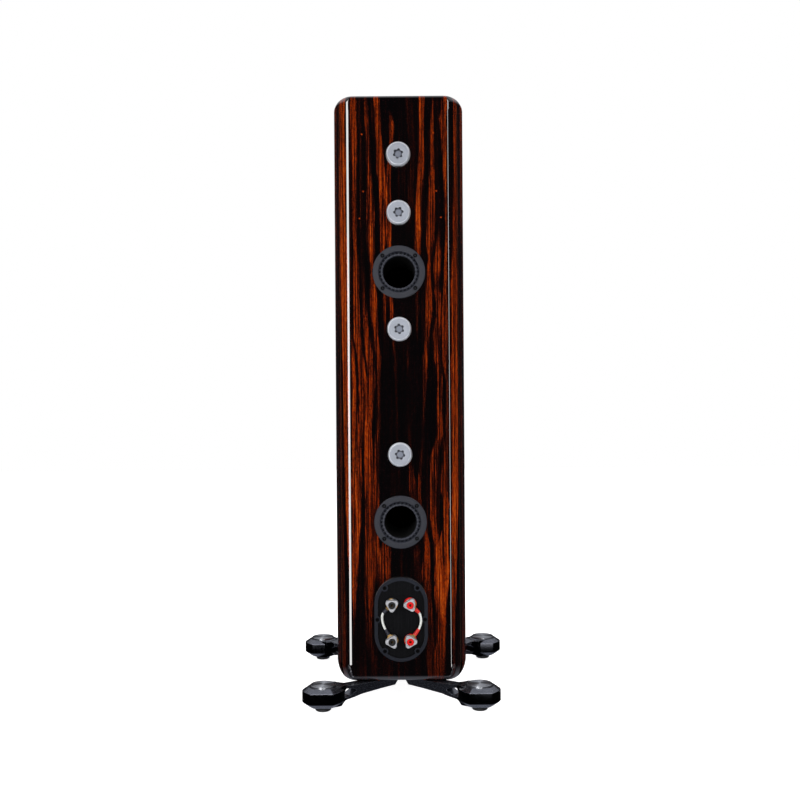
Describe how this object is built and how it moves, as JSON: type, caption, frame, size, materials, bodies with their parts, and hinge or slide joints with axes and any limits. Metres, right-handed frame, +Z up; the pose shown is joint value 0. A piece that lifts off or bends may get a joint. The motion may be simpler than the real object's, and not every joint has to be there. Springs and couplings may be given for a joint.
{
  "type": "floorstanding speaker",
  "caption": "Slim floorstanding loudspeaker with rear reflex ports, through-bolted drivers, bi-wire terminal plate and adjustable outrigger feet.",
  "frame": {"origin": "on the floor, at the middle of the box round the whole speaker", "axes": "+Z up, -Y towards the back with the terminals and ports, +Y towards the listener, +X to the right seen from the back"},
  "size_m": [0.414, 0.423, 1.103],
  "materials": {
    "veneer": "high-gloss lacquered ebony veneer, near black with red-brown stripes",
    "raw_board": "bare fibreboard",
    "wadding_felt": "soft grey felt",
    "frame_casting": "black powder coat",
    "motor_steel": "black plated steel",
    "cone_alloy": "fine satin, ceramic-like",
    "coil_wire": "enamelled copper",
    "surround_rubber": "matt black",
    "spider_cloth": "doped cloth",
    "trim_alloy": "turned satin",
    "tweeter_facing": "satin dark grey",
    "tweeter_mesh": "fine satin",
    "tweeter_foil": "pleated film",
    "bolt_steel": "turned satin with a bright bevel",
    "seal_rubber": "matt black",
    "port_plastic": "satin dark grey",
    "black_screws": "black oxide",
    "plate_alloy": "brushed, anodised near black",
    "stud_brass": "gold plated",
    "insulator_black": "satin black",
    "insulator_red": "bright red",
    "post_silver": "satin silver",
    "link_sleeve": "white with a silver braid below",
    "spade_gold": "gold plated",
    "boot_black": "ribbed black",
    "boot_red": "ribbed red",
    "board_laminate": "glass laminate",
    "capacitor_sleeve": "shrunk sleeve",
    "resistor_ceramic": "white ceramic",
    "board_brass": "plain",
    "outrigger_alloy": "satin dark grey coat with polished facets",
    "knob_alloy": "turned, dark anodised",
    "pad_rubber": "matt black"
  },
  "bodies": {
    "cabinet": {"side_panel_left": "veneer", "side_panel_right": "veneer", "back_panel": "veneer", "front_baffle": "veneer", "top_panel": "veneer", "base_panel": "veneer", "window_braces": "raw_board", "midrange_shelf": "raw_board", "wadding": "wadding_felt", "driver_frames": "frame_casting", "driver_motors": "motor_steel", "tweeter_motor": "motor_steel", "crossover_coils": "coil_wire", "surrounds": "surround_rubber", "spiders": "spider_cloth", "driver_trims": "trim_alloy", "tweeter_plate": "tweeter_facing", "tweeter_grille": "tweeter_mesh", "tweeter_film": "tweeter_foil", "tension_bolts": "bolt_steel", "bolt_seals": "seal_rubber", "terminal_gasket": "seal_rubber", "reflex_ports": "port_plastic", "panel_screws": "black_screws", "outrigger_screws": "black_screws", "terminal_plate": "plate_alloy", "post_studs": "stud_brass", "post_insulators_black": "insulator_black", "post_insulators_red": "insulator_red", "link_cables": "link_sleeve", "link_spades": "spade_gold", "link_boots_black": "boot_black", "link_boots_red": "boot_red", "crossover_board": "board_laminate", "crossover_capacitors": "capacitor_sleeve", "crossover_resistors": "resistor_ceramic", "board_fixings": "board_brass", "outriggers": "outrigger_alloy"},
    "woofer_diaphragm_upper": {"woofer_cone_upper": "cone_alloy", "voice_coil_upper": "coil_wire"},
    "woofer_diaphragm_lower": {"woofer_cone_lower": "cone_alloy", "voice_coil_lower": "coil_wire"},
    "midrange_diaphragm": {"midrange_cone": "cone_alloy", "midrange_coil": "coil_wire"},
    "washer_upper_black": {"clamp_washer_upper_black": "post_silver"},
    "nut_upper_black": {"clamp_nut_upper_black": "post_silver"},
    "washer_upper_red": {"clamp_washer_upper_red": "post_silver"},
    "nut_upper_red": {"clamp_nut_upper_red": "post_silver"},
    "washer_lower_black": {"clamp_washer_lower_black": "post_silver"},
    "nut_lower_black": {"clamp_nut_lower_black": "post_silver"},
    "washer_lower_red": {"clamp_washer_lower_red": "post_silver"},
    "nut_lower_red": {"clamp_nut_lower_red": "post_silver"},
    "pad_rear_left": {"foot_pad_rear_left": "pad_rubber"},
    "knob_rear_left": {"foot_knob_rear_left": "knob_alloy"},
    "pad_rear_right": {"foot_pad_rear_right": "pad_rubber"},
    "knob_rear_right": {"foot_knob_rear_right": "knob_alloy"},
    "pad_front_left": {"foot_pad_front_left": "pad_rubber"},
    "knob_front_left": {"foot_knob_front_left": "knob_alloy"},
    "pad_front_right": {"foot_pad_front_right": "pad_rubber"},
    "knob_front_right": {"foot_knob_front_right": "knob_alloy"}
  },
  "joints": [
    {"name": "woofer_stroke_upper", "type": "slide", "parent": "cabinet", "child": "woofer_diaphragm_upper", "axis": [0, 1, 0], "range_m": [-0.005, 0.005], "stiffness_N_per_m": 1500, "deforming": ["surrounds", "spiders"]},
    {"name": "woofer_stroke_lower", "type": "slide", "parent": "cabinet", "child": "woofer_diaphragm_lower", "axis": [0, 1, 0], "range_m": [-0.005, 0.005], "stiffness_N_per_m": 1500, "deforming": ["surrounds", "spiders"]},
    {"name": "midrange_stroke", "type": "slide", "parent": "cabinet", "child": "midrange_diaphragm", "axis": [0, 1, 0], "range_m": [-0.002, 0.002], "stiffness_N_per_m": 2000, "deforming": ["surrounds", "spiders"]},
    {"name": "post_lift_upper_black", "type": "slide", "parent": "cabinet", "child": "washer_upper_black", "axis": [0, -1, 0], "range_m": [0, 0.004]},
    {"name": "post_turn_upper_black", "type": "hinge", "parent": "washer_upper_black", "child": "nut_upper_black", "pos_m": [-0.0165, -0.1505, 0.1795], "axis": [0, -1, 0], "range_deg": [0, 1440]},
    {"name": "post_lift_upper_red", "type": "slide", "parent": "cabinet", "child": "washer_upper_red", "axis": [0, -1, 0], "range_m": [0, 0.004]},
    {"name": "post_turn_upper_red", "type": "hinge", "parent": "washer_upper_red", "child": "nut_upper_red", "pos_m": [0.0165, -0.1505, 0.1795], "axis": [0, -1, 0], "range_deg": [0, 1440]},
    {"name": "post_lift_lower_black", "type": "slide", "parent": "cabinet", "child": "washer_lower_black", "axis": [0, -1, 0], "range_m": [0, 0.004]},
    {"name": "post_turn_lower_black", "type": "hinge", "parent": "washer_lower_black", "child": "nut_lower_black", "pos_m": [-0.0165, -0.1505, 0.1135], "axis": [0, -1, 0], "range_deg": [0, 1440]},
    {"name": "post_lift_lower_red", "type": "slide", "parent": "cabinet", "child": "washer_lower_red", "axis": [0, -1, 0], "range_m": [0, 0.004]},
    {"name": "post_turn_lower_red", "type": "hinge", "parent": "washer_lower_red", "child": "nut_lower_red", "pos_m": [0.0165, -0.1505, 0.1135], "axis": [0, -1, 0], "range_deg": [0, 1440]},
    {"name": "foot_height_rear_left", "type": "slide", "parent": "cabinet", "child": "pad_rear_left", "axis": [0, 0, -1], "range_m": [0, 0.006]},
    {"name": "foot_turn_rear_left", "type": "hinge", "parent": "pad_rear_left", "child": "knob_rear_left", "pos_m": [-0.139, -0.181, 0.03], "axis": [0, 0, -1], "range_deg": [0, 1440]},
    {"name": "foot_height_rear_right", "type": "slide", "parent": "cabinet", "child": "pad_rear_right", "axis": [0, 0, -1], "range_m": [0, 0.006]},
    {"name": "foot_turn_rear_right", "type": "hinge", "parent": "pad_rear_right", "child": "knob_rear_right", "pos_m": [0.139, -0.181, 0.03], "axis": [0, 0, -1], "range_deg": [0, 1440]},
    {"name": "foot_height_front_left", "type": "slide", "parent": "cabinet", "child": "pad_front_left", "axis": [0, 0, -1], "range_m": [0, 0.006]},
    {"name": "foot_turn_front_left", "type": "hinge", "parent": "pad_front_left", "child": "knob_front_left", "pos_m": [-0.17, 0.181, 0.03], "axis": [0, 0, -1], "range_deg": [0, 1440]},
    {"name": "foot_height_front_right", "type": "slide", "parent": "cabinet", "child": "pad_front_right", "axis": [0, 0, -1], "range_m": [0, 0.006]},
    {"name": "foot_turn_front_right", "type": "hinge", "parent": "pad_front_right", "child": "knob_front_right", "pos_m": [0.17, 0.181, 0.03], "axis": [0, 0, -1], "range_deg": [0, 1440]}
  ],
  "couplings": [
    {"joint": "post_lift_upper_black", "follows": "post_turn_upper_black", "m_per_rad": 0.00015915},
    {"joint": "post_lift_upper_red", "follows": "post_turn_upper_red", "m_per_rad": 0.00015915},
    {"joint": "post_lift_lower_black", "follows": "post_turn_lower_black", "m_per_rad": 0.00015915},
    {"joint": "post_lift_lower_red", "follows": "post_turn_lower_red", "m_per_rad": 0.00015915},
    {"joint": "foot_height_rear_left", "follows": "foot_turn_rear_left", "m_per_rad": 0.00023873},
    {"joint": "foot_height_rear_right", "follows": "foot_turn_rear_right", "m_per_rad": 0.00023873},
    {"joint": "foot_height_front_left", "follows": "foot_turn_front_left", "m_per_rad": 0.00023873},
    {"joint": "foot_height_front_right", "follows": "foot_turn_front_right", "m_per_rad": 0.00023873}
  ]
}
